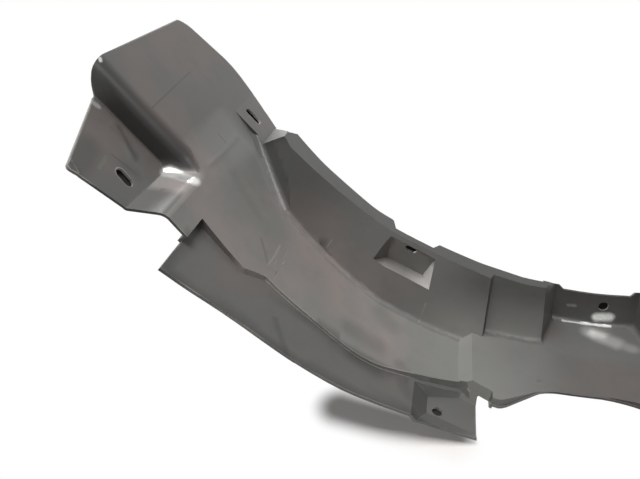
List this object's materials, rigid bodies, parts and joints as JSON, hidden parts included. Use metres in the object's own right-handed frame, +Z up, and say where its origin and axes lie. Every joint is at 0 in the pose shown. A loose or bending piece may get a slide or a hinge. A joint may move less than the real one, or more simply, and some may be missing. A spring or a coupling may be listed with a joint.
{
  "type": "wheel arch liner",
  "caption": "Thin moulded liner for the inside of a car's wheel arch: a curved channel with a flanged side wall, a stepped outer band and a lobed nose plate with punched clip holes.",
  "frame": {"origin": "centre of the bounding box, on the floor that the liner lies on", "axes": "+X from the nose plate towards the tail, +Y from the outboard edge towards the car's inside, +Z up as the liner lies on its curved back"},
  "size_m": [0.7738, 0.2556, 0.327],
  "materials": {
    "liner": "dark grey moulded plastic, slightly glossy"
  },
  "bodies": {
    "root": {"arch_liner": "liner"}
  },
  "joints": []
}
